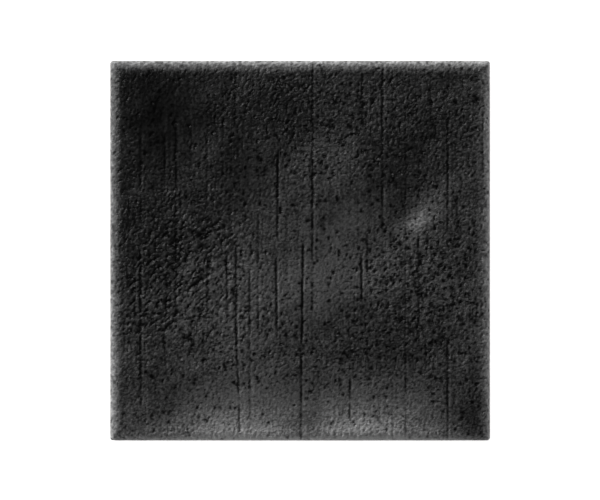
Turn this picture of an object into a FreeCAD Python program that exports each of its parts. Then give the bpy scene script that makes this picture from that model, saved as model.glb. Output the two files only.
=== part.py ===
"""Square ceramic wall tile with a cushion edge, pressed and fired as one piece.

Frame: millimetres, +Z out of the glazed face. The origin is the centre of the back, which lies in Z = 0.
X runs across the tile and Y up it, as it stands on a wall.
The glazed face is flat up to a soft roll along all four sides. The back has shallow closed channels
between flat ribs, which key the adhesive, inside a plain border.
"""

import FreeCAD
import Part
import Sketcher
import math
import os

# Driving dimensions, in millimetres: alias, value, what it measures.
DIMENSIONS = [
    ("tile_width", 130.0, "side to side, along X"),
    ("tile_length", 130.0, "bottom to top, along Y"),
    ("tile_thickness", 8.0, "back to glazed face"),
    ("corner_round", 1.0, "radius of the four corners, seen from the front"),
    ("edge_roll_width", 4.2, "how far in from the side the face starts to roll over"),
    ("edge_roll_drop", 2.6, "how far below the face the roll meets the side"),
    ("back_arris", 0.5, "bevel round the back"),
    ("back_border", 8.5, "least plain border round the channels"),
    ("channel_width", 9.5, "one channel of the back"),
    ("channel_depth", 0.6, "depth of the channels"),
    ("channel_round", 1.5, "corner radius of a channel, seen from the back"),
    ("rib_width", 5.0, "flat rib between two channels"),
]
# How many channels fit inside the border, and the way from one to the next.
CHANNEL_PITCH = "(dims.channel_width + dims.rib_width)"
CHANNEL_COUNT = "floor((dims.tile_width - 2 * dims.back_border + dims.rib_width) / %s)" % CHANNEL_PITCH
FLAT_TOLERANCE = 1e-6
QUARTER_TURN = math.pi / 2


def make_sheet(doc):
    """The spreadsheet of driving dimensions: one row each, with its alias."""
    sheet = doc.addObject("Spreadsheet::Sheet", "dims")
    for row, (alias, value, meaning) in enumerate(DIMENSIONS, start=1):
        sheet.set("A%d" % row, alias)
        sheet.set("B%d" % row, str(value))
        sheet.setAlias("B%d" % row, alias)
        sheet.set("C%d" % row, meaning)
    doc.recompute()
    return sheet


def origin_part(body, role):
    """One of the body's own origin planes or axes, by its role, such as XY_Plane."""
    return next(item for item in body.Origin.OriginFeatures if item.Role == role)


def new_sketch(body, name, plane):
    """An empty sketch on one of the body's origin planes."""
    sketch = body.newObject("Sketcher::SketchObject", name)
    sketch.AttachmentSupport = [(origin_part(body, plane), "")]
    sketch.MapMode = "FlatFace"
    return sketch


def set_size(sketch, name, formula, constraint):
    """Adds a size to the sketch, names it, and ties it to a formula on the spreadsheet."""
    index = sketch.addConstraint(Sketcher.Constraint(*constraint))
    sketch.renameConstraint(index, name)
    sketch.setExpression("Constraints." + name, formula)


def draw_rounded_rectangle(sketch, width, length, radius, centre_x="0"):
    """A rounded rectangle about the sketch's Y zero, with its middle at centre_x.

    All four sizes are formulas on the spreadsheet. The shape is drawn at their present values,
    and its constraints then hold it to them.
    """
    half_width, half_length, corner, middle_x = (
        sketch.evalExpression(formula)
        for formula in ("(%s) / 2" % width, "(%s) / 2" % length, radius, centre_x)
    )
    arcs, lines = [], []
    for turn in range(4):
        right = 1 if turn in (0, 3) else -1
        top = 1 if turn in (0, 1) else -1
        centre = FreeCAD.Vector(
            middle_x + right * (half_width - corner), top * (half_length - corner), 0
        )
        circle = Part.Circle(centre, FreeCAD.Vector(0, 0, 1), corner)
        arcs.append(Part.ArcOfCircle(circle, turn * QUARTER_TURN, (turn + 1) * QUARTER_TURN))
    for turn in range(4):
        lines.append(Part.LineSegment(arcs[turn].EndPoint, arcs[(turn + 1) % 4].StartPoint))
    arcs = [sketch.addGeometry(arc, False) for arc in arcs]
    top, left, bottom, right = lines = [sketch.addGeometry(line, False) for line in lines]
    for turn, line in enumerate(lines):
        sketch.addConstraint(Sketcher.Constraint("Tangent", arcs[turn], 2, line, 1))
        sketch.addConstraint(Sketcher.Constraint("Tangent", line, 2, arcs[(turn + 1) % 4], 1))
    for arc in arcs[1:]:
        sketch.addConstraint(Sketcher.Constraint("Equal", arcs[0], arc))
    sketch.addConstraint(Sketcher.Constraint("Horizontal", top))
    sketch.addConstraint(Sketcher.Constraint("Vertical", left))
    sizes = [
        ("corner", radius, ("Radius", arcs[0], corner)),
        ("wide", width, ("DistanceX", left, 1, right, 1, 2 * half_width)),
        ("tall", length, ("DistanceY", bottom, 1, top, 1, 2 * half_length)),
        ("up", "(%s) / 2" % length, ("DistanceY", -1, 1, top, 1, half_length)),
        (
            "across",
            "(%s) / 2 + (%s)" % (width, centre_x),
            ("DistanceX", -1, 1, right, 1, half_width + middle_x),
        ),
    ]
    for name, formula, constraint in sizes:
        set_size(sketch, name, formula, constraint)


def draw_edge_waste(sketch, span):
    """The corner of the section that the roll takes away: two straight lines and an arc.

    The sketch's Y is the height above the back, and span is the formula for the tile's size
    across this section. The arc leaves the face without a step and meets the side below it.
    """
    side, face, roll, drop = (
        sketch.evalExpression(formula)
        for formula in (
            "%s / 2" % span, "dims.tile_thickness", "dims.edge_roll_width", "dims.edge_roll_drop"
        )
    )
    radius = (roll * roll + drop * drop) / (2 * drop)
    on_face = FreeCAD.Vector(side - roll, face, 0)
    corner = FreeCAD.Vector(side, face, 0)
    on_side = FreeCAD.Vector(side, face - drop, 0)
    centre = FreeCAD.Vector(side - roll, face - radius, 0)
    circle = Part.Circle(centre, FreeCAD.Vector(0, 0, 1), radius)
    side_angle = QUARTER_TURN - (on_side - centre).getAngle(on_face - centre)
    along_face = sketch.addGeometry(Part.LineSegment(on_face, corner), False)
    down_side = sketch.addGeometry(Part.LineSegment(corner, on_side), False)
    arc = sketch.addGeometry(Part.ArcOfCircle(circle, side_angle, QUARTER_TURN), False)
    sketch.addConstraint(Sketcher.Constraint("Coincident", along_face, 2, down_side, 1))
    sketch.addConstraint(Sketcher.Constraint("Coincident", down_side, 2, arc, 1))
    sketch.addConstraint(Sketcher.Constraint("Coincident", arc, 2, along_face, 1))
    sketch.addConstraint(Sketcher.Constraint("Horizontal", along_face))
    sketch.addConstraint(Sketcher.Constraint("Vertical", down_side))
    sketch.addConstraint(Sketcher.Constraint("Vertical", arc, 3, arc, 2))
    sizes = [
        ("side_at", "%s / 2" % span, ("DistanceX", -1, 1, down_side, 1, side)),
        ("face_at", "dims.tile_thickness", ("DistanceY", -1, 1, down_side, 1, face)),
        ("roll_width", "dims.edge_roll_width", ("DistanceX", along_face, 1, along_face, 2, roll)),
        ("roll_drop", "dims.edge_roll_drop", ("DistanceY", down_side, 2, down_side, 1, drop)),
    ]
    for name, formula, constraint in sizes:
        set_size(sketch, name, formula, constraint)


def press_blank(body):
    """The plain slab: the rounded square, as thick as the tile."""
    outline = new_sketch(body, "OutlineSketch", "XY_Plane")
    draw_rounded_rectangle(outline, "dims.tile_width", "dims.tile_length", "dims.corner_round")
    slab = body.newObject("PartDesign::Pad", "Slab")
    slab.Profile = outline
    slab.setExpression("Length", "dims.tile_thickness")
    return slab


def bevel_back(body, slab):
    """The small bevel where the back meets the sides."""
    edges = [
        "Edge%d" % number
        for number, edge in enumerate(slab.Shape.Edges, start=1)
        if edge.BoundBox.ZMax < FLAT_TOLERANCE
    ]
    bevel = body.newObject("PartDesign::Chamfer", "BackArris")
    bevel.Base = (slab, edges)
    bevel.setExpression("Size", "dims.back_arris")
    return bevel


def roll_edges(body, name, section_plane, span, mirror_plane):
    """The cushion roll along one pair of opposite sides: one cut, and its mirror image."""
    section = new_sketch(body, name + "Sketch", section_plane)
    draw_edge_waste(section, span)
    cut = body.newObject("PartDesign::Pocket", name + "Cut")
    cut.Profile = section
    cut.Type = "ThroughAll"
    cut.SideType = "Symmetric"
    body.Document.recompute()
    pair = body.newObject("PartDesign::Mirrored", name + "Pair")
    pair.Originals = [cut]
    pair.MirrorPlane = (origin_part(body, mirror_plane), [""])
    body.Tip = pair
    return pair


def key_back(body):
    """The closed channels of the back, side by side, centred between the two sides."""
    first = new_sketch(body, "ChannelSketch", "XY_Plane")
    draw_rounded_rectangle(
        first,
        "dims.channel_width",
        "dims.tile_length - 2 * dims.back_border",
        "dims.channel_round",
        "-(%s - 1) * %s / 2" % (CHANNEL_COUNT, CHANNEL_PITCH),
    )
    channel = body.newObject("PartDesign::Pocket", "Channel")
    channel.Profile = first
    channel.Reversed = True
    channel.setExpression("Length", "dims.channel_depth")
    body.Document.recompute()
    row = body.newObject("PartDesign::LinearPattern", "ChannelRow")
    row.Originals = [channel]
    row.Direction = (origin_part(body, "X_Axis"), [""])
    row.Mode = "Spacing"
    row.setExpression("Offset", CHANNEL_PITCH)
    row.setExpression("Occurrences", CHANNEL_COUNT)
    body.Tip = row
    return row


def check_cut(document, feature, before, name):
    """Stops if a feature that should take material away has left the volume as it was."""
    document.recompute()
    after = feature.Shape.Volume
    if not after < before - FLAT_TOLERANCE:
        raise RuntimeError("%s took nothing away" % name)
    print("%-12s leaves %.1f mm3" % (name, after))
    return after


def make_tile(document):
    """The whole tile, as one body."""
    tile = document.addObject("PartDesign::Body", "WallTile")
    tile.Label = "wall_tile"
    slab = press_blank(tile)
    document.recompute()
    volume = slab.Shape.Volume
    volume = check_cut(document, bevel_back(tile, slab), volume, "back arris")
    side_roll = roll_edges(tile, "SideRoll", "XZ_Plane", "dims.tile_width", "YZ_Plane")
    volume = check_cut(document, side_roll, volume, "side rolls")
    end_roll = roll_edges(tile, "EndRoll", "YZ_Plane", "dims.tile_length", "XZ_Plane")
    volume = check_cut(document, end_roll, volume, "end rolls")
    check_cut(document, key_back(tile), volume, "channels")
    return tile


def check_document(document):
    """Stops if any object of the document failed to compute."""
    for item in document.Objects:
        if "Invalid" in item.State or "Error" in item.State:
            raise RuntimeError("%s failed: %s" % (item.Name, item.State))


def export(body):
    """Writes the body's solid to parts/, under the body's label."""
    shape = body.Shape
    if shape.isNull() or not shape.isValid() or len(shape.Solids) != 1:
        raise RuntimeError("%s isn't one valid solid" % body.Label)
    os.makedirs("parts", exist_ok=True)
    shape.exportStep("parts/%s.step" % body.Label)
    box = shape.BoundBox
    print("%s: %.2f x %.2f x %.2f mm" % (body.Label, box.XLength, box.YLength, box.ZLength))


document = FreeCAD.newDocument("ceramic_wall_tile")
make_sheet(document)
wall_tile = make_tile(document)
check_document(document)
export(wall_tile)
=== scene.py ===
"""The looks of a square ceramic wall tile: a pressed buff body under one coat of satin black glaze.

The tile lies on its back with its glazed face up. Metres in Blender, and millimetres inside the numpy
surfaces.
"""

import math

import bpy
import numpy
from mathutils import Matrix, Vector


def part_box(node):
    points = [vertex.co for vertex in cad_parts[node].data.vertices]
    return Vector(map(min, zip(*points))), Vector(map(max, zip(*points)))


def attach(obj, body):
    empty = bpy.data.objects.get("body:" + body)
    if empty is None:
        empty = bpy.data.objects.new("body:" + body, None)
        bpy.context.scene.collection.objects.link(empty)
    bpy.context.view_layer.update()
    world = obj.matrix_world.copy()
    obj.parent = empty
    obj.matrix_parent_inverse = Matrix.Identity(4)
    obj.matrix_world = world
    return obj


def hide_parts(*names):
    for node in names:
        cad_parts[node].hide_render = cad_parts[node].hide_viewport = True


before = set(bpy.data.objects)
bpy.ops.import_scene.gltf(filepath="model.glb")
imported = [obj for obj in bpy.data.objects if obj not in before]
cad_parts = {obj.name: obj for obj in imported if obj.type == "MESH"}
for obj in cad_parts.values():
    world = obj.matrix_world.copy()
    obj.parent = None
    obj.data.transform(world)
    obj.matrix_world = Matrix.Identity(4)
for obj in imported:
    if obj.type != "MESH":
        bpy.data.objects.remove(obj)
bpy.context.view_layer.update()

# --- Camera -----------------------------------------------------------------------------------------
# The camera hangs over the middle of the tile and looks straight down on the glazed face, with the
# tile's +Y side at the top of the picture. The long lens keeps the four sides out of sight. The view is
# measured at the height where the tile's outline is seen, about two thirds of the way up its sides, and
# CAMERA_LIFT sets it a fifth of a millimetre up the tile.
tile_low, tile_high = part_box("wall_tile")
tile_size = tile_high - tile_low
TILE_SHARE_OF_VIEW = 0.6337
LENS = 120.0
CAMERA_LIFT = 0.00018
OUTLINE_HEIGHT_SHARE = 0.68
camera_data = bpy.data.cameras.new("camera")
camera_data.lens = LENS
camera_data.sensor_width = 36.0
view_width = tile_size.x / TILE_SHARE_OF_VIEW
camera = bpy.data.objects.new("camera", camera_data)
outline_height = tile_low.z + OUTLINE_HEIGHT_SHARE * tile_size.z
camera.location = (0, CAMERA_LIFT, outline_height + view_width * LENS / camera_data.sensor_width)
camera_data.clip_end = 10
bpy.context.scene.collection.objects.link(camera)
bpy.context.scene.camera = camera

# --- The glazed face --------------------------------------------------------------------------------
# The face is pressed by hand into the mould, so it wanders, and the clay tears and drags as the tile is
# scraped and lifted out. The glaze is sprayed over all of that and softens it. Its relief is worked out
# on a square raster first, and read from there at each corner of the mesh.
MM = 0.001
half_side = tile_size.x / 2 / MM
top = tile_high.z / MM
RASTER_STEP = 0.25
RASTER_CELLS = int(2 * half_side / RASTER_STEP) + 4
raster_line = (numpy.arange(RASTER_CELLS) - (RASTER_CELLS - 1) / 2) * RASTER_STEP
raster_x, raster_y = numpy.meshgrid(raster_line, raster_line)


def soft_step(low, high, value):
    """0 below low and 1 above high, with the cubic 3t^2 - 2t^3 between them."""
    t = numpy.clip((value - low) / (high - low), 0, 1)
    return t * t * (3 - 2 * t)


def mound(x, y, centre_x, centre_y, long_radius, short_radius, turn=0):
    """A round hill of height 1: exp(-r^2), with r measured in its own two radii, turned by turn degrees."""
    cosine, sine = math.cos(math.radians(turn)), math.sin(math.radians(turn))
    along = ((x - centre_x) * cosine + (y - centre_y) * sine) / long_radius
    across = ((y - centre_y) * cosine - (x - centre_x) * sine) / short_radius
    return numpy.exp(-(along**2) - across**2)


def grain(seed, longest, shortest, stretch=1.0, turn=0):
    """Random relief with unit spread and waves between two lengths in mm, drawn out along turn degrees.

    White noise, with each frequency f weighted by exp(-(f shortest)^2) (1 - exp(-(f longest)^2)). The part
    of f that lies along the grain counts stretch times, so the waves there are that much longer.
    """
    noise = numpy.random.default_rng(seed).standard_normal((RASTER_CELLS, RASTER_CELLS))
    frequency = numpy.fft.fftfreq(RASTER_CELLS, RASTER_STEP)
    across_x, up_y = numpy.meshgrid(frequency, frequency)
    cosine, sine = math.cos(math.radians(turn)), math.sin(math.radians(turn))
    along = (across_x * cosine + up_y * sine) * stretch
    across = up_y * cosine - across_x * sine
    squared = along**2 + across**2
    weight = numpy.exp(-squared * shortest**2) * (1 - numpy.exp(-squared * longest**2))
    waves = numpy.fft.ifft2(numpy.fft.fft2(noise) * weight).real
    return waves / waves.std()


def dimples(seed, count, radius, likelihood):
    """Round pits of depth up to 1 at random places, more where likelihood, a raster from 0 to 1, is high.

    Each pit is exp(-(r / radius)^2.6), so its wall is steeper than a bell's. All pits are drawn at once, as
    the convolution of their centres with that shape.
    """
    random = numpy.random.default_rng(seed)
    column, row = random.integers(0, RASTER_CELLS, (2, count))
    depth = random.uniform(0.35, 1.0, count) * (random.random(count) < likelihood[row, column])
    centres = numpy.zeros((RASTER_CELLS, RASTER_CELLS))
    numpy.maximum.at(centres, (row, column), depth)
    shape = numpy.exp(-((numpy.hypot(raster_x, raster_y) / radius) ** 2.6))
    shape = numpy.fft.ifftshift(shape)
    return numpy.fft.ifft2(numpy.fft.fft2(centres) * numpy.fft.fft2(shape)).real


# Drag lines run down the face: where each is across, where it starts and ends, how deep it is, and how
# far its foot has drifted across from its head, all in mm.
DRAG_LINES = [
    (-56.4, -3, -23, 0.09, 0.0), (-54.4, 42, 1, 0.05, 0.0), (-54.4, 1, -35, 0.16, 0.0),
    (-54.3, -35, -58, 0.06, 0.1), (-46.2, 39, 17, 0.06, 0.0), (-46.2, -27, -38, 0.09, 0.1),
    (-42.4, 45, -24, 0.07, 0.1), (-37.3, 44, 24, 0.06, 0.0), (-31.8, 40, -20, 0.03, 0.2),
    (-25.0, -1, -24, 0.13, 0.3), (-22.1, 65, 44, 0.06, 0.0), (-21.9, 3, -35, 0.15, 0.3),
    (-21.4, -35, -62, 0.09, 0.8), (-17.4, -7, -24, 0.11, 0.2), (-17.2, -24, -62, 0.05, 0.2),
    (-14.4, 13, -28, 0.06, 0.1), (-7.5, 34, 5, 0.18, -0.3), (-8.1, -3, -27, 0.15, 0.2),
    (1.0, 2, -31, 0.22, -0.4), (0.5, -31, -65, 0.09, -0.2), (4.4, 65, 8, 0.15, -0.2),
    (4.2, 8, -20, 0.06, 0.0), (17.1, -44, -58, 0.10, -0.1), (21.2, 60, 42, 0.13, 0.0),
    (21.0, -2, -17, 0.22, 0.0), (22.9, 5, -7, 0.16, 0.0), (28.1, 65, 43, 0.15, 0.0),
    (28.0, 43, 7, 0.07, 0.0), (35.9, 48, -65, 0.05, 0.0), (40.4, 5, -31, 0.09, 0.0),
    (43.4, 14, -4, 0.06, 0.0), (50.3, 45, 7, 0.10, 0.0), (50.3, -31, -65, 0.09, 0.0),
    (53.4, 20, 7, 0.06, 0.0), (62.3, 52, 27, 0.07, 0.0),
]
# The shape of every drag line: its widths and its lip's place in mm, and how far its two ends fade.
GROOVE_WIDTH = 0.30
LIP_WIDTH = 0.4
LIP_PLACE = 0.7
LIP_SHARE = 0.3
END_FADE = 1.5


def drag_line(seed, across, head, foot, depth, drift):
    """One drag line: a groove with a bell section, and a low lip of pushed-up clay along its right side.

    groove - LIP_SHARE lip, where each is exp(-((x - its place) / its width)^2). The line leans by drift
    from head to foot and wavers by a tenth of a millimetre. It fades at both ends, and is fainter where
    noise says so.
    """
    random = numpy.random.default_rng(seed)
    coarse = numpy.linspace(-half_side, half_side, int(half_side / 1.1))
    waver = numpy.interp(raster_line, coarse, random.normal(0, 0.07, coarse.size))
    hold = numpy.interp(raster_line, coarse, random.uniform(0.2, 1.4, coarse.size))
    way_down = numpy.clip((head - raster_line) / (head - foot), 0, 1)
    above_foot = soft_step(foot - END_FADE, foot + END_FADE, raster_line)
    below_head = 1 - soft_step(head - END_FADE, head + END_FADE, raster_line)
    beside = raster_x - (across + drift * way_down + waver)[:, None]
    groove = numpy.exp(-((beside / GROOVE_WIDTH) ** 2))
    lip = numpy.exp(-(((beside - LIP_PLACE) / LIP_WIDTH) ** 2))
    return depth * (groove - LIP_SHARE * lip) * (above_foot * below_head * hold)[:, None]


def mounds(start, table):
    """start plus one mound for each row of the table: its height, its centre's x and y, its long and short
    radius, and its turn where it has one."""
    return sum((height * mound(raster_x, raster_y, *where) for height, *where in table), start=start)


# How the clay took the press, area by area. Torn: the coarse diagonal tears low on the left. Pitted: the
# open grain on the right and along the top. Calm: the smooth patches, where the press bore evenly.
torn = numpy.clip(mounds(0, [
    (1.0, -40, -4, 24, 17, 40),
    (0.7, -46, -18, 13, 12),
    (0.5, -18, -22, 14, 9),
]), 0, 1)
pitted = numpy.clip(mounds(0.05, [
    (1.1, 40, -12, 23, 19, -40),
    (0.5, 32, 45, 40, 14, 12),
    (0.35, -2, 54, 26, 9),
    (0.14, 30, 22, 30, 20),
    (0.16, -10, -40, 45, 20),
]), 0, 1)
calm = numpy.clip(mounds(0, [
    (0.75, -46, 44, 16, 16),
    (0.4, -16, 26, 12, 16),
    (0.55, 15, 10, 24, 14, 30),
    (0.35, 8, -20, 14, 10),
    (0.35, -10, -50, 60, 12),
]), 0, 0.8)

# The relief in mm. The glaze crawls to a fine peel, and softens the dents, tears, pits and drag lines under
# it. The tears and pits follow the areas above, one long tear has its own place, and the pits stand in
# slanting rows.
rows_of_pits = 0.35 + 0.65 * soft_step(-0.4, 0.9, grain(11, 9.0, 2.4, 2.6, 35))
peel = 0.11 * grain(1, 2.8, 0.62, 1.4, 40) * (1 - 0.8 * calm)
dents = 0.24 * soft_step(0.3, 2.4, grain(12, 2.6, 0.65, 1.5, 40)) * (1 - 0.8 * calm)
tears = 0.46 * torn * soft_step(0.1, 2.3, grain(3, 5.0, 0.8, 3.4, 36))
tears += 0.26 * mound(raster_x, raster_y, -35.8, -11.5, 8.5, 0.5, 34)
ridges = 0.30 * torn * soft_step(0.5, 2.4, grain(4, 6.0, 0.9, 3.4, 34))
ridges += 0.18 * mound(raster_x, raster_y, -35.3, -12.3, 8.5, 0.5, 34)
pit_likelihood = 0.42 * pitted * rows_of_pits * (1 - 0.6 * calm) + 0.10 * torn + 0.01
pits = 0.42 * dimples(6, 15000, 0.42, pit_likelihood)
drags = sum(drag_line(100 + number, *line) for number, line in enumerate(DRAG_LINES))
fine_relief = peel + ridges - (dents + tears + pits + drags)
wander = 0.07 * grain(7, 60.0, 14.0, 1.5, 40)

# Where the face tips, in mm of height: it rises to a thick rim along the bottom, and a slack ridge climbs
# to the right of the middle.
swell = (
    0.40 * soft_step(-42, -66, raster_y) * (0.5 + 0.5 * mound(raster_x, raster_y, 0, -65, 45, 30))
    + 0.22 * mound(raster_x, raster_y, 36, 14, 26, 8, 40)
    + 0.12 * mound(raster_x, raster_y, 6, -8, 22, 12, 20)
    - 0.12 * mound(raster_x, raster_y, -46, 44, 18, 18)
)
relief = fine_relief + wander + swell

# How pale the glaze colour is, from 0, full black, to 1, dull grey. This is its slow part, area by area:
# blackest at the upper left and lower right, and dull along the bottom and right of the middle. The pale
# band along the bottom is partly a bloom in the glaze and partly painted sheen where the face rises to
# its rim.
tone = mounds(0.29, [
    (-0.19, -50, 46, 20, 18),
    (-0.15, -64, 10, 11, 32),
    (-0.08, -14, 62, 60, 10),
    (-0.05, -5, 42, 10, 9),
    (-0.04, 42, 38, 14, 18),
    (-0.10, -12, 47, 26, 9),
    (-0.12, -19, 31, 12, 10, 60),
    (-0.08, 36, 34, 18, 12),
    (-0.08, 31, 22, 10, 9),
    (-0.11, -47, 6, 9, 26),
    (-0.06, -32, 16, 12, 16),
    (-0.08, 27, -28, 20, 12),
    (-0.17, 60, -58, 8, 9),
    (-0.06, -60, 60, 9, 9),
    (-0.05, -46, -47, 17, 8),
    (-0.03, 40, 60, 24, 9),
    (-0.04, -6, -10, 8, 16),
    (-0.04, -2, 46, 14, 8),
    (-0.04, 45, 48, 10, 8),
    (-0.05, 0, -60, 9, 7),
    (0.06, -47, -20, 9, 8),
    (0.09, 6, -8, 32, 9),
    (0.30, 40, 10, 7.5, 3.6, 45),
    (0.10, 47, 18, 12, 4.5, 50),
    (0.08, -20, -46, 10, 14),
    (0.44, -24, -68, 24, 15),
    (0.42, 24, -66, 26, 16),
    (0.08, -20, -22, 15, 15),
    (0.05, 8, -14, 45, 16),
    (0.05, 8, 31, 12, 10),
])
tone += 0.018 * grain(8, 30.0, 7.0, 1.6, 40)

# How much painted shade the hollows get, where the glaze also pools darker. In the weights, for their
# depth, drag lines and pits count for more than dents and tears.
FULLY_DARK = 0.24
pooled_glaze_and_shade = numpy.clip((0.8 * dents + 0.6 * tears + 1.6 * pits + 2.9 * drags) / FULLY_DARK, -0.2, 1.2)

# How much paler the rolled edges come out, from glaze worn thin and painted sheen, more in one place and
# less in the next.
edge_wear_and_sheen = numpy.clip(1 + 0.20 * grain(13, 9.0, 1.1), 0.4, 1.6)


def sampled(raster, x, y):
    """The raster's value at each place in mm: its four nearest cells, each weighted by how near it is."""
    column = numpy.clip((x - raster_line[0]) / RASTER_STEP, 0, RASTER_CELLS - 1.001)
    row = numpy.clip((y - raster_line[0]) / RASTER_STEP, 0, RASTER_CELLS - 1.001)
    left, below = column.astype(int), row.astype(int)
    right_share, upper_share = column - left, row - below
    lower = raster[below, left] * (1 - right_share) + raster[below, left + 1] * right_share
    upper = raster[below + 1, left] * (1 - right_share) + raster[below + 1, left + 1] * right_share
    return lower * (1 - upper_share) + upper * upper_share


# The rolled edge, and the mesh's grid over the face, all in mm.
CORNER_ROUND = 1.0
ROLL_WIDTH = 4.2
ROLL_DROP = 2.6
COLUMN_STEP = 0.38
ROW_STEP = 0.56
EDGE_ZONE = 2.4
EDGE_LINES = 8


def face_lines(step):
    """Grid lines from side to side: even over the middle, and closing up towards both sides.

    Line k of the outer zone is zone (k / n)^1.6 in from the side.
    """
    closing = EDGE_ZONE * (numpy.arange(EDGE_LINES) / EDGE_LINES) ** 1.6
    inner = half_side - EDGE_ZONE
    middle = numpy.linspace(-inner, inner, round(2 * inner / step) + 1)
    return numpy.concatenate([closing - half_side, middle, (half_side - closing)[::-1]])


def with_round_corners(x, y, half, radius):
    """Squeezes each corner square of the grid into a quarter disc: (u, v) goes to
    (u sqrt(1 - v^2 / 2), v sqrt(1 - u^2 / 2)), where u and v run from 0 to 1 over the last radius."""
    flat_x = numpy.clip(x, radius - half, half - radius)
    flat_y = numpy.clip(y, radius - half, half - radius)
    u, v = (x - flat_x) / radius, (y - flat_y) / radius
    return flat_x + radius * u * numpy.sqrt(1 - v**2 / 2), flat_y + radius * v * numpy.sqrt(1 - u**2 / 2)


def inset(x, y):
    """How far inside the rounded square each place lies, in mm."""
    out_x = numpy.abs(x) - (half_side - CORNER_ROUND)
    out_y = numpy.abs(y) - (half_side - CORNER_ROUND)
    beyond = numpy.hypot(numpy.maximum(out_x, 0), numpy.maximum(out_y, 0))
    return CORNER_ROUND - beyond - numpy.minimum(numpy.maximum(out_x, out_y), 0)


def edge_roll(depth_in):
    """How far the face has rolled over at each inset: R - sqrt(R^2 - (width - inset)^2), an arc of radius R
    that leaves the face level and is ROLL_DROP down where it meets the side."""
    radius = (ROLL_WIDTH**2 + ROLL_DROP**2) / (2 * ROLL_DROP)
    across = numpy.clip(ROLL_WIDTH - depth_in, 0, ROLL_WIDTH)
    return radius - numpy.sqrt(radius**2 - across**2)


# The rolled edges are paler: the glaze runs thin over them, and painted sheen stands in for the light they
# catch, most of all on the right and at the top. For the left, right, bottom and top side: the way it
# faces, how much paler the glaze is right at the edge, and how far in from it that reaches, in mm.
THIN_GLAZE_AND_EDGE_SHEEN = [(-1, 0, 0.50, 5.0), (1, 0, 0.78, 5.2), (0, -1, 0.40, 6.0), (0, 1, 0.58, 5.1)]


def thin_glaze_and_edge_sheen(x, y):
    """How much is added to the tone near the four sides, for thin glaze and painted sheen: amount
    (1 - inset / reach)^1.5 of the side that counts most, uneven along the sides."""
    paler = numpy.zeros_like(x)
    for outwards_x, outwards_y, amount, reach in THIN_GLAZE_AND_EDGE_SHEEN:
        from_side = half_side - (x * outwards_x + y * outwards_y)
        paler = numpy.maximum(paler, amount * numpy.clip(1 - from_side / reach, 0, 1) ** 1.5)
    return paler * sampled(edge_wear_and_sheen, x, y)


# Finer from side to side than from bottom to top, because the drag lines run down the face. The highest
# thousandth of the relief is cut level with the tile's top, and grain FULLY_HIGH mm up counts as high and
# gets a painted highlight.
TOP_SHARE = 0.999
FULLY_HIGH = 0.06
face_columns, face_rows = face_lines(COLUMN_STEP), face_lines(ROW_STEP)
grid_x, grid_y = numpy.meshgrid(face_columns, face_rows)
face_x, face_y = with_round_corners(grid_x, grid_y, half_side, CORNER_ROUND)
face_inset = inset(face_x, face_y)
face_relief = sampled(relief, face_x, face_y)
face_fall = numpy.minimum(face_relief - numpy.quantile(face_relief, TOP_SHARE), 0)
face_z = top - edge_roll(face_inset) + face_fall
# The tone takes the thin glaze and painted sheen of the rolled edges.
face_tone = sampled(tone, face_x, face_y) + thin_glaze_and_edge_sheen(face_x, face_y)
face_pooled_glaze_and_shade = sampled(pooled_glaze_and_shade, face_x, face_y)
face_high_grain_highlight = sampled(numpy.clip((peel + ridges) / FULLY_HIGH, -1, 1), face_x, face_y)

# --- The sides --------------------------------------------------------------------------------------
# The mould's walls leave the sides straight and a little rough. The glaze runs down them and stops in a
# wandering line above the back, where the tile stood on the kiln shelf.
BACK_ARRIS = 0.5
SIDE_HEIGHTS = [0.82, 0.58, 0.34, 0.14, 0.0]
SIDE_ROUGHNESS = 0.05


def border(rows, columns):
    """The numbers of a grid's border corners, once round, where corners are numbered row by row."""
    return numpy.concatenate([
        numpy.arange(columns - 1),
        numpy.arange(rows - 1) * columns + columns - 1,
        (rows - 1) * columns + numpy.arange(columns - 1, 0, -1),
        numpy.arange(rows - 1, 0, -1) * columns,
    ])


rim = border(*face_x.shape)
rim_x, rim_y, rim_z = face_x.flat[rim], face_y.flat[rim], face_z.flat[rim]


def side_rings():
    """The rings of corners down the sides, from just under the rolled edge to the bevel at the back.

    Ring points are (rim point) (1 - step in / half side), so the outline keeps its shape as it steps in.
    The step in is a product of two sines round the tile, so it comes and goes.
    """
    rings = []
    for number, share in enumerate(SIDE_HEIGHTS):
        height = BACK_ARRIS + share * (rim_z - BACK_ARRIS)
        around = numpy.arange(rim.size) * 2 * math.pi / rim.size
        waves = numpy.sin(around * 37 + 5 * number) * numpy.sin(around * 11 + number)
        scale = 1 - SIDE_ROUGHNESS * (0.5 + 0.5 * waves) / half_side
        rings.append(numpy.stack([rim_x * scale, rim_y * scale, height], axis=1))
    return rings


# --- The back ---------------------------------------------------------------------------------------
# The bare fired clay of the back, with eight closed channels between flat ribs, which the mould presses in
# so that the adhesive keys.
CHANNELS = 8
CHANNEL_WIDTH = 9.5
RIB_WIDTH = 5.0
BACK_BORDER = 8.5
CHANNEL_DEPTH = 0.6
CHANNEL_ROUND = 1.5
WALL_SPREAD = 0.5
BACK_WAVE = 0.03


def edge_cluster(place, inwards):
    """Grid lines about a channel's wall: one outside it, one on it, and three round its corner."""
    spread = WALL_SPREAD
    return place + inwards * numpy.array([-spread, 0, spread, 2 * spread, 3.4 * spread])


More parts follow.
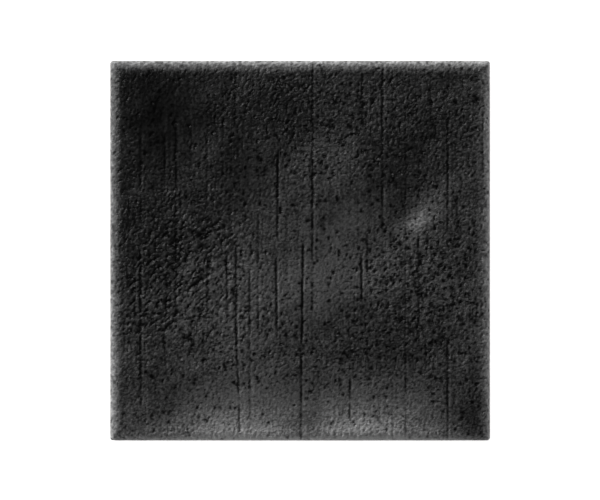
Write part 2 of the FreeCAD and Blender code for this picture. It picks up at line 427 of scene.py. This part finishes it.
back_half = half_side - BACK_ARRIS
back_round = CORNER_ROUND - BACK_ARRIS
channel_centres = (numpy.arange(CHANNELS) - (CHANNELS - 1) / 2) * (CHANNEL_WIDTH + RIB_WIDTH)
channel_half_length = half_side - BACK_BORDER
border_lines = numpy.array([back_half, back_half - back_round, back_half - 3.0])
back_columns = numpy.sort(numpy.concatenate(
    [border_lines, -border_lines]
    + [edge_cluster(centre - CHANNEL_WIDTH / 2, 1) for centre in channel_centres]
    + [edge_cluster(centre + CHANNEL_WIDTH / 2, -1) for centre in channel_centres]
    + [channel_centres, channel_centres[:-1] + (CHANNEL_WIDTH + RIB_WIDTH) / 2]
))
back_rows = numpy.sort(numpy.concatenate([
    border_lines, -border_lines,
    edge_cluster(-channel_half_length, 1), edge_cluster(channel_half_length, -1),
    numpy.linspace(-channel_half_length + 5, channel_half_length - 5, 24),
]))


def channel_floor(x, y):
    """Height of the back over its lowest plane: CHANNEL_DEPTH inside a channel and 0 outside, with a soft
    step across the channel's rounded outline."""
    nearest = numpy.abs(x[..., None] - channel_centres).min(axis=-1)
    out_x = nearest - (CHANNEL_WIDTH / 2 - CHANNEL_ROUND)
    out_y = numpy.abs(y) - (channel_half_length - CHANNEL_ROUND)
    beyond = numpy.hypot(numpy.maximum(out_x, 0), numpy.maximum(out_y, 0))
    outside = beyond + numpy.minimum(numpy.maximum(out_x, out_y), 0) - CHANNEL_ROUND
    return CHANNEL_DEPTH * soft_step(WALL_SPREAD, -WALL_SPREAD, outside)


back_grid_x, back_grid_y = numpy.meshgrid(back_columns, back_rows)
back_x, back_y = with_round_corners(back_grid_x, back_grid_y, back_half, back_round)
back_z = channel_floor(back_x, back_y)
in_channel = back_z > CHANNEL_DEPTH / 2
back_z = back_z + BACK_WAVE * numpy.clip(sampled(grain(9, 12.0, 3.0), back_x, back_y), 0, 2) * in_channel

# --- One closed mesh --------------------------------------------------------------------------------
# Face, sides and back are one fired piece, so they are one closed skin.


def grid_quads(rows, columns, first, flipped=False):
    """The four corners of each cell of a grid whose corners are numbered row by row from first."""
    corner = first + (numpy.arange(rows - 1)[:, None] * columns + numpy.arange(columns - 1)).ravel()
    quads = numpy.stack([corner, corner + 1, corner + columns + 1, corner + columns], axis=1)
    return quads[:, ::-1] if flipped else quads


def zipped(fine, coarse, fine_at, coarse_at):
    """Triangles between a fine ring and a coarse one, which run the same way round.

    Each fine edge is joined to the coarse corner nearest to its middle, and where that corner changes, one
    more triangle closes the gap.
    """
    middle = (fine_at + numpy.roll(fine_at, -1, axis=0)) / 2
    distance = ((middle[:, None, :] - coarse_at[None, :, :]) ** 2).sum(axis=2)
    owner = distance.argmin(axis=1)
    along_fine = numpy.stack([fine, numpy.roll(fine, -1), coarse[owner]], axis=1)
    before = numpy.roll(owner, 1)
    turns = owner != before
    closing = numpy.stack([fine[turns], coarse[owner[turns]], coarse[before[turns]]], axis=1)
    return numpy.concatenate([along_fine[:, ::-1], closing[:, ::-1]])


rings = side_rings()
vertices = numpy.concatenate(
    [numpy.stack([face_x, face_y, face_z], axis=-1).reshape(-1, 3)]
    + rings
    + [numpy.stack([back_x, back_y, back_z], axis=-1).reshape(-1, 3)]
)
face_quads = grid_quads(*face_x.shape, 0)
ring_numbers = [rim] + [
    face_x.size + rim.size * number + numpy.arange(rim.size) for number in range(len(rings))
]
side_quads = numpy.concatenate([
    numpy.stack([upper, lower, numpy.roll(lower, -1), numpy.roll(upper, -1)], axis=1)
    for upper, lower in zip(ring_numbers, ring_numbers[1:])
])
back_first = face_x.size + rim.size * len(rings)
back_quads = grid_quads(*back_x.shape, back_first, flipped=True)
back_around = back_first + border(*back_x.shape)
lowest_ring = ring_numbers[-1]
bevel = zipped(lowest_ring, back_around, vertices[lowest_ring][:, :2], vertices[back_around][:, :2])
mesh = bpy.data.meshes.new("wall_tile_glazed")
quads = numpy.concatenate([face_quads, side_quads, back_quads])
mesh.from_pydata((vertices * MM).tolist(), [], quads.tolist() + bevel.tolist())
mesh.shade_smooth()
SHARP_FROM = 42
mesh.set_sharp_from_angle(angle=math.radians(SHARP_FROM))


def keep(name, given, elsewhere):
    """Stores one number per corner of the mesh, for the material to read: the given values from the first
    corner on, which is the face's, and elsewhere for the corners after them."""
    values = numpy.full(len(mesh.vertices), elsewhere, numpy.float32)
    values[: given.size] = given.ravel()
    mesh.attributes.new(name, "FLOAT", "POINT").data.foreach_set("value", values)


# The rolled edge's paleness, thin glaze and painted sheen, fades down the sides by height^1.5 as the glaze
# thickens again.
SIDE_TONE = 0.3
side_tone = [SIDE_TONE + (face_tone.flat[rim] - SIDE_TONE) * share**1.5 for share in SIDE_HEIGHTS]
keep("tone", numpy.concatenate([face_tone.ravel()] + side_tone), SIDE_TONE)
# Painted shade in the hollows, partly glaze pooled there, for the glaze to read.
keep("pooled_glaze_and_shade", face_pooled_glaze_and_shade, 0)
# Painted highlight on high grain, for the glaze to read.
keep("high", face_high_grain_highlight, 0)
keep("calm", sampled(calm, face_x, face_y), 0)
keep("pitted", sampled(pitted * rows_of_pits * (1 - calm), face_x, face_y), 0)
tile = bpy.data.objects.new("wall_tile_glazed", mesh)
bpy.context.scene.collection.objects.link(tile)

# --- The glaze and the clay -------------------------------------------------------------------------
# Satin black glaze, an iron and manganese glaze sprayed on and fired to a soft sheen. It is near black
# where it pools, and dull grey where it is thin, and its colour also carries painted shade in the hollows
# and pinholes and painted highlights on the grain and rolled edges. Below its edge on the sides, and all
# over the back, the fired buff clay is bare, matt and sandy.


def hex_colour(text):
    """An sRGB hex value as linear red, green, blue and alpha."""
    parts = [int(text[place : place + 2], 16) / 255 for place in (1, 3, 5)]
    return [part / 12.92 if part <= 0.04045 else ((part + 0.055) / 1.055) ** 2.4 for part in parts] + [1]


def add(tree, kind, inputs=None, **settings):
    """Adds a node of that kind, with its settings, and each input set to a value or linked to a socket."""
    node = tree.nodes.new(kind)
    for name, value in settings.items():
        setattr(node, name, value)
    for name, value in (inputs or {}).items():
        if isinstance(value, bpy.types.NodeSocket):
            tree.links.new(value, node.inputs[name])
        else:
            node.inputs[name].default_value = value
    return node


def math_of(tree, operation, *values):
    """The result of one step of arithmetic on two or three numbers or sockets."""
    return add(tree, "ShaderNodeMath", dict(enumerate(values)), operation=operation).outputs[0]


def ranged(tree, value, low, high, to_low, to_high, **settings):
    """A value carried from low..high to to_low..to_high, and held at both ends."""
    inputs = {"Value": value, "From Min": low, "From Max": high, "To Min": to_low, "To Max": to_high}
    return add(tree, "ShaderNodeMapRange", inputs, **settings).outputs["Result"]


def noise(tree, place, size, **settings):
    """A noise from 0 to 1 whose largest waves are about size long, in metres."""
    inputs = {"Vector": place, "Scale": 1 / size, **settings}
    return add(tree, "ShaderNodeTexNoise", inputs).outputs["Fac"]


glaze = bpy.data.materials.new("satin_black_glaze")
glaze.use_nodes = True
tree = glaze.node_tree
shader = tree.nodes["Principled BSDF"]
place = add(tree, "ShaderNodeTexCoord").outputs["Object"]
# The attributes carry painted shade in the hollows, where the glaze also pools, and a painted highlight on
# high grain.
tone_value, pooled_glaze_and_shade_value, high_grain_highlight_value, calm_value, pitted_value = (
    add(tree, "ShaderNodeAttribute", attribute_name=name).outputs["Fac"]
    for name in ("tone", "pooled_glaze_and_shade", "high", "calm", "pitted")
)

# The finest grain of the pressed face, which lies along the press and dies away where the face is calm, and
# the streaks that the scraper left down it.
GRAIN_SIZE = 0.7 * MM
STREAK_SIZE = 0.9 * MM
PRESS_TURN = -40
leaning = add(
    tree, "ShaderNodeMapping",
    {"Vector": place, "Rotation": (0, 0, math.radians(PRESS_TURN)), "Scale": (0.7, 1, 1)},
).outputs["Vector"]
even_grain = noise(tree, leaning, GRAIN_SIZE, Detail=2.0, Roughness=0.6)
fine = add(
    tree, "ShaderNodeMix", {"Factor": calm_value, 2: even_grain, 3: 0.5}, data_type="FLOAT"
).outputs[0]
down = add(tree, "ShaderNodeMapping", {"Vector": place, "Scale": (1, 0.03, 1)}).outputs["Vector"]
streak = noise(tree, down, STREAK_SIZE, Detail=1.0)

# Pinholes under a millimetre across, where gas left the clay: each cell of the pattern has one if its
# random colour is below the share of open grain there. Their radii are in cells.
PINHOLE_SPACING = 1.75 * MM
SMALLEST_PINHOLE, LARGEST_PINHOLE = 0.24, 0.42
cells = add(tree, "ShaderNodeTexVoronoi", {"Vector": leaning, "Scale": 1 / PINHOLE_SPACING}, feature="F1")
lot = add(tree, "ShaderNodeSeparateColor", {"Color": cells.outputs["Color"]})
open_share = math_of(tree, "MULTIPLY_ADD", pitted_value, 0.85, 0.03)
drawn = math_of(tree, "SUBTRACT", open_share, lot.outputs["Red"])
has_hole = ranged(tree, drawn, 0.0, 0.12, 0.0, 1.0)
hole_radius = ranged(tree, lot.outputs["Green"], 0.0, 1.0, SMALLEST_PINHOLE, LARGEST_PINHOLE)
hole_shape = ranged(
    tree, cells.outputs["Distance"], hole_radius, 0.1, 0.0, 1.0, interpolation_type="SMOOTHSTEP"
)
hole = math_of(tree, "MULTIPLY", hole_shape, has_hole)

# How pale the glaze is: its tone, with the thin glaze and painted sheen of the rolled edge, a painted
# highlight on high grain and the tops of the fine grain, and painted shade in the fine grain's lows, in the
# hollows, where the glaze also pools, and in the pinholes.
# A painted highlight on high grain.
paleness = math_of(tree, "MULTIPLY_ADD", high_grain_highlight_value, 0.05, tone_value)
# Painted highlight on the tops of the fine grain and painted shade in its lows, following its bump.
paleness = math_of(tree, "ADD", paleness, ranged(tree, fine, 0.34, 0.56, -0.08, 0.06))
paleness = math_of(tree, "ADD", paleness, ranged(tree, streak, 0.3, 0.7, -0.03, 0.03))
# Painted shade in the hollows, where the glaze also pools darker.
paleness = math_of(tree, "MULTIPLY_ADD", pooled_glaze_and_shade_value, -0.34, paleness)
# Painted shade inside the pinholes.
paleness = math_of(tree, "MULTIPLY_ADD", hole, -0.6, paleness)
glaze_colour = add(tree, "ShaderNodeValToRGB", {"Fac": paleness})
ramp = glaze_colour.color_ramp
ramp.elements[0].position, ramp.elements[0].color = 0.0, hex_colour("#020202")
ramp.elements[1].position, ramp.elements[1].color = 1.0, hex_colour("#a8a8a8")
for position, colour in ((0.12, "#121212"), (0.25, "#282828"), (0.5, "#525252")):
    ramp.elements.new(position).color = hex_colour(colour)

# The glaze line on the sides wanders about 1.7 mm above the back: its lowest height plus its wander times a
# noise from 0 to 1. The glaze thins out to bare clay across its soft edge.
LINE_WAVE = 9 * MM
LINE_WANDER = 1.6 * MM
LINE_LOWEST = 0.9 * MM
height = add(tree, "ShaderNodeSeparateXYZ", {"Vector": place}).outputs["Z"]
wandering = noise(tree, place, LINE_WAVE, Detail=2.0)
line_height = math_of(tree, "MULTIPLY_ADD", wandering, LINE_WANDER, LINE_LOWEST)
above_line = math_of(tree, "SUBTRACT", height, line_height)
glazed = ranged(tree, above_line, -0.05 * MM, 0.08 * MM, 0.0, 1.0)

# Bare clay: buff, with sand in it, a blush of the fire over it, and iron spots burnt out of it here and
# there.
SAND_SIZE = 1.1 * MM
BLUSH_SIZE = 30 * MM
SPOT_SPACING = 3.2 * MM
sand = noise(tree, place, SAND_SIZE, Detail=4.0, Roughness=0.65)
clay_colour = add(tree, "ShaderNodeValToRGB", {"Fac": sand})
clay_ramp = clay_colour.color_ramp
clay_ramp.elements[0].position, clay_ramp.elements[0].color = 0.32, hex_colour("#9a8467")
clay_ramp.elements[1].position, clay_ramp.elements[1].color = 0.68, hex_colour("#cdbb9d")
blush = noise(tree, place, BLUSH_SIZE, Detail=3.0)
blush_share = ranged(tree, blush, 0.42, 0.68, 0.0, 0.55)
blushed_clay = add(
    tree, "ShaderNodeMix",
    {"Factor": blush_share, 6: clay_colour.outputs["Color"], 7: hex_colour("#b07f5c")}, data_type="RGBA",
).outputs[2]
spots = add(tree, "ShaderNodeTexVoronoi", {"Vector": place, "Scale": 1 / SPOT_SPACING}, feature="F1")
spot_lot = add(tree, "ShaderNodeSeparateColor", {"Color": spots.outputs["Color"]}).outputs["Red"]
spot_radius = ranged(tree, spot_lot, 0.55, 1.0, 0.001, 0.19)
spot = ranged(tree, spots.outputs["Distance"], spot_radius, 0.0, 0.0, 0.8)
bare_clay = add(
    tree, "ShaderNodeMix", {"Factor": spot, 6: blushed_clay, 7: hex_colour("#4a3222")}, data_type="RGBA"
).outputs[2]

colour = add(
    tree, "ShaderNodeMix",
    {"Factor": glazed, 6: bare_clay, 7: glaze_colour.outputs["Color"]}, data_type="RGBA",
)
CLAY_ROUGHNESS = 0.9
glaze_roughness = ranged(tree, hole, 0.0, 1.0, 0.34, 0.7)
roughness = add(
    tree, "ShaderNodeMix", {"Factor": glazed, 2: CLAY_ROUGHNESS, 3: glaze_roughness}, data_type="FLOAT"
)

# Heights in millimetres, added up for one bump. The grain stands up to twice as high where the face is
# pitted.
GRAIN_HEIGHT = 0.38
PITTED_GRAIN_HEIGHT = 0.40
STREAK_HEIGHT = 0.03
PINHOLE_DEPTH = 0.28
SAND_HEIGHT = 0.08
grain_height = math_of(tree, "MULTIPLY_ADD", pitted_value, PITTED_GRAIN_HEIGHT, GRAIN_HEIGHT)
fine_height = math_of(tree, "MULTIPLY", fine, grain_height)
fine_height = math_of(tree, "MULTIPLY_ADD", streak, STREAK_HEIGHT, fine_height)
fine_height = math_of(tree, "MULTIPLY_ADD", hole, -PINHOLE_DEPTH, fine_height)
sand_height = math_of(tree, "MULTIPLY", sand, SAND_HEIGHT)
surface_height = add(
    tree, "ShaderNodeMix", {"Factor": glazed, 2: sand_height, 3: fine_height}, data_type="FLOAT"
)
bump = add(tree, "ShaderNodeBump", {"Height": surface_height.outputs[0], "Strength": 1.0, "Distance": MM})
tree.links.new(colour.outputs[2], shader.inputs["Base Color"])
tree.links.new(roughness.outputs[0], shader.inputs["Roughness"])
tree.links.new(bump.outputs["Normal"], shader.inputs["Normal"])
# The specular level is set well under the usual 0.5, at which the lamps' sheen greys the black of the
# hollows.
shader.inputs["IOR"].default_value = 1.5
shader.inputs["Specular IOR Level"].default_value = 0.15
mesh.materials.append(glaze)
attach(tile, "root")
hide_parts("wall_tile")

# --- Floor ------------------------------------------------------------------------------------------
# A plain white floor, which shows as white and keeps the tile's shadow.
FLOOR_RADIUS = 3.0
FLOOR_GLOW = 0.9
bpy.ops.mesh.primitive_circle_add(
    vertices=96, radius=FLOOR_RADIUS, fill_type="NGON", location=(0, 0, tile_low.z)
)
floor = bpy.context.object
floor.name = "floor"
white_floor = bpy.data.materials.new("white_floor")
white_floor.use_nodes = True
tree = white_floor.node_tree
shader = tree.nodes["Principled BSDF"]
shader.inputs["Base Color"].default_value = hex_colour("#e4e4e4")
shader.inputs["Roughness"].default_value = 0.9
path = add(tree, "ShaderNodeLightPath")
seen = math_of(tree, "MAXIMUM", path.outputs["Is Camera Ray"], path.outputs["Is Glossy Ray"])
seen_or_through = math_of(tree, "MAXIMUM", seen, path.outputs["Is Transmission Ray"])
glow = math_of(tree, "MULTIPLY", seen_or_through, FLOOR_GLOW)
shader.inputs["Emission Color"].default_value = (1, 1, 1, 1)
tree.links.new(glow, shader.inputs["Emission Strength"])
floor.data.materials.append(white_floor)

# --- Light ------------------------------------------------------------------------------------------
# A room with a dark ceiling and pale walls, one strong softbox at the upper left, and weaker ones low on
# the left and at the top, which draw the rolled edges.
WALL_LIGHT = 0.5
CEILING_LIGHT = 0.03
world = bpy.data.worlds.new("studio")
bpy.context.scene.world = world
world.use_nodes = True
tree = world.node_tree
background = tree.nodes["Background"]
direction = add(tree, "ShaderNodeTexCoord").outputs["Generated"]
upward = add(tree, "ShaderNodeSeparateXYZ", {"Vector": direction}).outputs["Z"]
walls = ranged(
    tree, upward, 0.15, 0.88, WALL_LIGHT, CEILING_LIGHT, interpolation_type="SMOOTHSTEP"
)
path = add(tree, "ShaderNodeLightPath")
shown = add(
    tree, "ShaderNodeMix",
    {"Factor": path.outputs["Is Camera Ray"], 2: walls, 3: 1.0}, data_type="FLOAT",
)
tree.links.new(shown.outputs[0], background.inputs["Strength"])
background.inputs["Color"].default_value = (1, 1, 1, 1)


def softbox(name, compass, height_angle, distance, width, length, radiance):
    """A rectangular lamp aimed at the tile. compass is degrees from +Y towards +X, as seen from above; the
    lamp's power is pi times its area times its radiance."""
    data = bpy.data.lights.new(name, "AREA")
    data.shape = "RECTANGLE"
    data.size, data.size_y = width, length
    data.energy = math.pi * width * length * radiance
    lamp = bpy.data.objects.new(name, data)
    turn, lift = math.radians(compass), math.radians(height_angle)
    towards = Vector((math.sin(turn) * math.cos(lift), math.cos(turn) * math.cos(lift), math.sin(lift)))
    lamp.location = towards * distance
    lamp.rotation_euler = towards.to_track_quat("Z", "Y").to_euler()
    bpy.context.scene.collection.objects.link(lamp)


softbox("key", -45, 25, 1.2, 0.6, 0.4, 26.0)
softbox("left", -95, 16, 1.2, 1.2, 0.5, 2.2)
softbox("top", 5, 16, 1.2, 1.2, 0.5, 2.4)

scene = bpy.context.scene
scene.view_settings.view_transform = "Standard"
